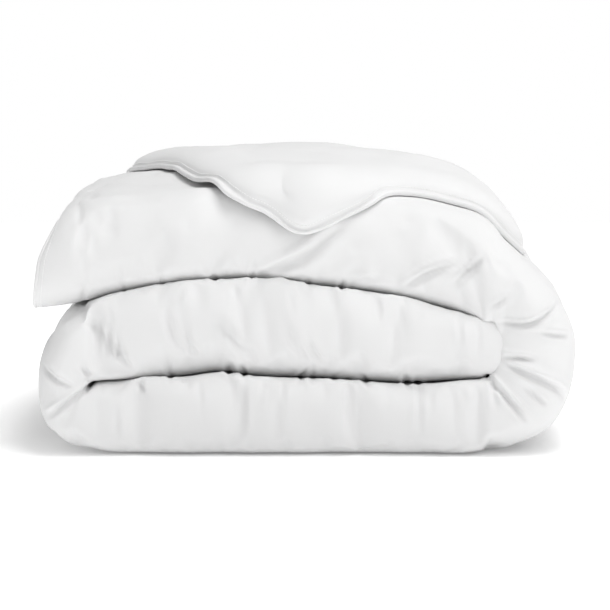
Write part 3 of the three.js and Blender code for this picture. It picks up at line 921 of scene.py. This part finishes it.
def make_edges(surface):
    """The tape and the stitches along the whole free edge, each with its unrolled x as an attribute."""
    made = []
    rows = ((tube, TAPE_INSET, TAPE_SHARE, TAPE_SIZE), (stitches, HEM, STITCH_SHARE, ()))
    for make, inset, share, sizes in rows:
        centres, outs, along = beside_edge(surface, inset, EDGE_LEFT_X, EDGE_RIGHT_X, share)
        piece = make("edge", centres, outs, *sizes)
        values = along[nearest_centre(coordinates(piece), centres)].astype(np.float32)
        piece.data.attributes.new("along", "FLOAT", "POINT").data.foreach_set("value", values)
        made.append(piece)
    return made


HEAD_LINE_END = 0.75  # share of half the depth, behind the middle, at which the head's edges end
HEAD_LINE_POINTS = 260


def head_line(strip, ring):
    """The points and ways out of a ring near the free end, from underneath, round in front and above."""
    points = coordinates(strip)[: RING_COUNT * RING].reshape(RING_COUNT, RING, 3)[ring]
    outward = normals(strip)[: RING_COUNT * RING].reshape(RING_COUNT, RING, 3)[ring]
    order = np.r_[FOLD_POINTS + FLAT_POINTS : RING, 0 : FOLD_POINTS + FLAT_POINTS]
    order = order[BASE[order] < HEAD_LINE_END]
    return resample(points[order], HEAD_LINE_POINTS), resample(outward[order], HEAD_LINE_POINTS)


# ---- materials -----------------------------------------------------------------------------------


def new_material(name, color, roughness, sheen=0.0):
    paint = bpy.data.materials.new(name)
    paint.use_nodes = True
    shader = paint.node_tree.nodes["Principled BSDF"]
    shader.inputs["Base Color"].default_value = (*color, 1)
    shader.inputs["Roughness"].default_value = roughness
    shader.inputs["Sheen Weight"].default_value = sheen
    shader.inputs["Specular IOR Level"].default_value = 0.25
    return paint


CLOUD_SCALE = 34  # of the soft wrinkles
CLOUD_DETAIL = 3


def add_weave(paint, threads=900, depth=0.00012, wrinkle=0.0010):
    """A fine plain weave and soft wrinkles, as bumps from the object's own coordinates."""
    nodes, links = paint.node_tree.nodes, paint.node_tree.links
    shader = nodes["Principled BSDF"]
    place = nodes.new("ShaderNodeTexCoord")
    waves = []
    for direction in ("X", "Z"):
        wave = nodes.new("ShaderNodeTexWave")
        wave.bands_direction = direction
        wave.inputs["Scale"].default_value = threads
        links.new(place.outputs["Object"], wave.inputs["Vector"])
        waves.append(wave)
    both = nodes.new("ShaderNodeMath")
    both.operation = "MULTIPLY"
    links.new(waves[0].outputs["Fac"], both.inputs[0])
    links.new(waves[1].outputs["Fac"], both.inputs[1])
    fine = nodes.new("ShaderNodeBump")
    fine.inputs["Strength"].default_value = 0.25
    fine.inputs["Distance"].default_value = depth
    links.new(both.outputs[0], fine.inputs["Height"])
    cloud = nodes.new("ShaderNodeTexNoise")
    cloud.inputs["Scale"].default_value = CLOUD_SCALE
    cloud.inputs["Detail"].default_value = CLOUD_DETAIL
    links.new(place.outputs["Object"], cloud.inputs["Vector"])
    soft = nodes.new("ShaderNodeBump")
    soft.inputs["Strength"].default_value = 0.5
    soft.inputs["Distance"].default_value = wrinkle
    links.new(cloud.outputs["Fac"], soft.inputs["Height"])
    links.new(fine.outputs["Normal"], soft.inputs["Normal"])
    links.new(soft.outputs["Normal"], shader.inputs["Normal"])
    return paint


def dress(piece, paint):
    piece.data.materials.clear()
    piece.data.materials.append(paint)


# ---- stage, light and camera ---------------------------------------------------------------------

CAMERA_TILT = math.radians(7)
CAMERA_FAR = 2.4
PICTURE_WIDTH = 0.7015
CAMERA_X = 0.001
AIM_HEIGHT = 0.177
SENSOR = 36  # millimetres
LAMP_AIM = (0, 0, 0.15)
LAMPS = [("key", (0.5, -0.5, 2.6), 1.2, 35.5), ("fill", (1.2, -1.7, 2.0), 1.6, 12.5)]  # place, size, watts
HORIZON = {"From Min": 0.05, "From Max": 0.16, "To Min": 1.0, "To Max": 0.42}
# painted light: how strongly the floor glows, by distance from the middle of the stage
GLOW = {"From Min": 0.27, "From Max": 0.58, "To Min": 0.08, "To Max": 0.60}
FLOOR_HALF = 3


def sky():
    """A white horizon under a dimmer sky, so that the lamps shape the folds."""
    world = bpy.data.worlds.new("studio")
    world.use_nodes = True
    nodes, links = world.node_tree.nodes, world.node_tree.links
    way = nodes.new("ShaderNodeTexCoord")
    split = nodes.new("ShaderNodeSeparateXYZ")
    links.new(way.outputs["Generated"], split.inputs[0])
    ramp = nodes.new("ShaderNodeMapRange")
    ramp.interpolation_type = "SMOOTHSTEP"
    for name, value in HORIZON.items():
        ramp.inputs[name].default_value = value
    links.new(split.outputs["Z"], ramp.inputs["Value"])
    links.new(ramp.outputs["Result"], nodes["Background"].inputs["Strength"])
    nodes["Background"].inputs["Color"].default_value = (1, 1, 1, 1)
    return world


def pale_floor():
    """A pale floor that glows a little away from the object, so that it runs into the white horizon. The
    glow is painted light: it also lightens the object's shadow on the floor.
    """
    paint = new_material("pale_floor", (0.93, 0.93, 0.93), 0.9)
    nodes, links = paint.node_tree.nodes, paint.node_tree.links
    place = nodes.new("ShaderNodeTexCoord")
    far = nodes.new("ShaderNodeVectorMath")
    far.operation = "LENGTH"
    links.new(place.outputs["Object"], far.inputs[0])
    ramp = nodes.new("ShaderNodeMapRange")
    ramp.interpolation_type = "SMOOTHSTEP"
    for name, value in GLOW.items():
        ramp.inputs[name].default_value = value
    links.new(far.outputs["Value"], ramp.inputs["Value"])
    links.new(ramp.outputs["Result"], nodes["Principled BSDF"].inputs["Emission Strength"])
    nodes["Principled BSDF"].inputs["Emission Color"].default_value = (1, 1, 1, 1)
    return paint


def studio():
    r = FLOOR_HALF
    floor = new_mesh("floor", [(-r, -r, 0), (r, -r, 0), (r, r, 0), (-r, r, 0)], [(0, 1, 2, 3)])
    floor.data.materials.append(pale_floor())
    bpy.context.scene.world = sky()
    for name, place, size, power in LAMPS:
        light = bpy.data.lights.new(name, "AREA")
        light.size = size
        light.energy = power
        lamp = bpy.data.objects.new(name, light)
        lamp.location = place
        x, y, z = np.array(LAMP_AIM) - np.array(place)
        tilt = math.acos(-z / math.hypot(x, y, z))
        lamp.rotation_euler = (tilt, 0, math.atan2(y, x) - math.pi / 2)
        bpy.context.scene.collection.objects.link(lamp)
    bpy.context.scene.view_settings.view_transform = "Standard"


def camera():
    view = bpy.data.cameras.new("camera")
    view.sensor_width = SENSOR
    view.lens = SENSOR * CAMERA_FAR / PICTURE_WIDTH
    eye = bpy.data.objects.new("camera", view)
    back = CAMERA_FAR * math.cos(CAMERA_TILT)
    height = AIM_HEIGHT + CAMERA_FAR * math.sin(CAMERA_TILT)
    eye.location = (CAMERA_X, -HALF_DEPTH - back, height)
    eye.rotation_euler = (math.pi / 2 - CAMERA_TILT, 0, 0)
    bpy.context.scene.collection.objects.link(eye)
    bpy.context.scene.camera = eye


# ---- putting it together -------------------------------------------------------------------------

ROLL_CUT_HEIGHT = 0.118  # height at which the strip is cut in the right turn
HEAD_TAPE = 0.0030  # radius
HEAD_STITCHES_INSET = 3  # rings between the bound edge and the stitches


def bend_with_top(piece):
    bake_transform(piece)


def bend_with_corner(piece):
    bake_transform(piece)


def attribute(piece, name):
    values = np.empty(len(piece.data.vertices), np.float32)
    piece.data.attributes[name].data.foreach_get("value", values)
    return values


def main():
    cloth = add_weave(new_material("cover_cloth_white", (0.77, 0.77, 0.77), 0.85, 0.1))
    tape = add_weave(new_material("binding_tape_white", (0.78, 0.78, 0.78), 0.8, 0.1), wrinkle=0.0002)
    thread = new_material("sewing_thread_white", (0.9, 0.9, 0.9), 0.6)

    strip = facing_out(make_strip())
    surface = Surface(strip)
    layer = make_layer(surface)
    subdivide(layer)
    facing_out(layer)
    tape_line, stitch_line = make_edges(surface)
    seam = len(RUN) + HEAD_RINGS - 1
    edges = {
        "head_binding": tube("head_binding", *head_line(strip, seam), HEAD_TAPE, HEAD_TAPE),
        "head_stitches": stitches("head_stitches", *head_line(strip, seam - HEAD_STITCHES_INSET)),
    }

    stations = attribute(strip, "station")
    turn = np.flatnonzero((RUN == "right") & (OUTER[:, 1] > ROLL_CUT_HEIGHT))[0]
    roll, top = split_by(strip, stations, turn, ("duvet_roll", "duvet_top"))
    for piece, kind in ((tape_line, "binding"), (stitch_line, "stitches")):
        names = ("short_" + kind, "turn_" + kind)
        edges.update(zip(names, split_by(piece, attribute(piece, "along"), LAYER_CUT_X, names)))
    names = ("top_layer", "turn_layer")
    top_layer, turn_layer = split_by(layer, attribute(layer, "along"), LAYER_CUT_X, names)

    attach(roll, "roll")
    bend_with_top(top)
    bend_with_top(turn_layer)
    bend_with_corner(top_layer)
    for name in ("turn_binding", "turn_stitches"):
        bend_with_top(edges[name])
    for name in ("short_binding", "short_stitches"):
        bend_with_corner(edges[name])
    for name in ("head_binding", "head_stitches"):
        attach(edges[name], "top_fold")
    for piece in (roll, top, top_layer, turn_layer):
        dress(piece, cloth)
    for name, piece in edges.items():
        if name.endswith("binding"):
            dress(piece, tape)
        else:
            dress(piece, thread)

    names = ("middle_run", "left_turn", "bottom_run")
    runs = [f"{kind}_{run}" for kind in ("shell", "filling") for run in names]
    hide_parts(*runs, "shell_right_turn", "filling_right_turn")
    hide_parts("shell_top_run", "filling_top_run")
    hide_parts("shell_top_layer", "filling_top_layer", "shell_corner", "filling_corner")
    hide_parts("shell_turn_layer", "filling_turn_layer")
    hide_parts("binding_short_edge", "binding_corner")
    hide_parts("topstitch_short_edge", "topstitch_corner")
    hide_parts("binding_turn_edge")
    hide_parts("topstitch_turn_edge")
    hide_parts("binding_head_end")
    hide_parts("topstitch_head_end")


main()
studio()
camera()
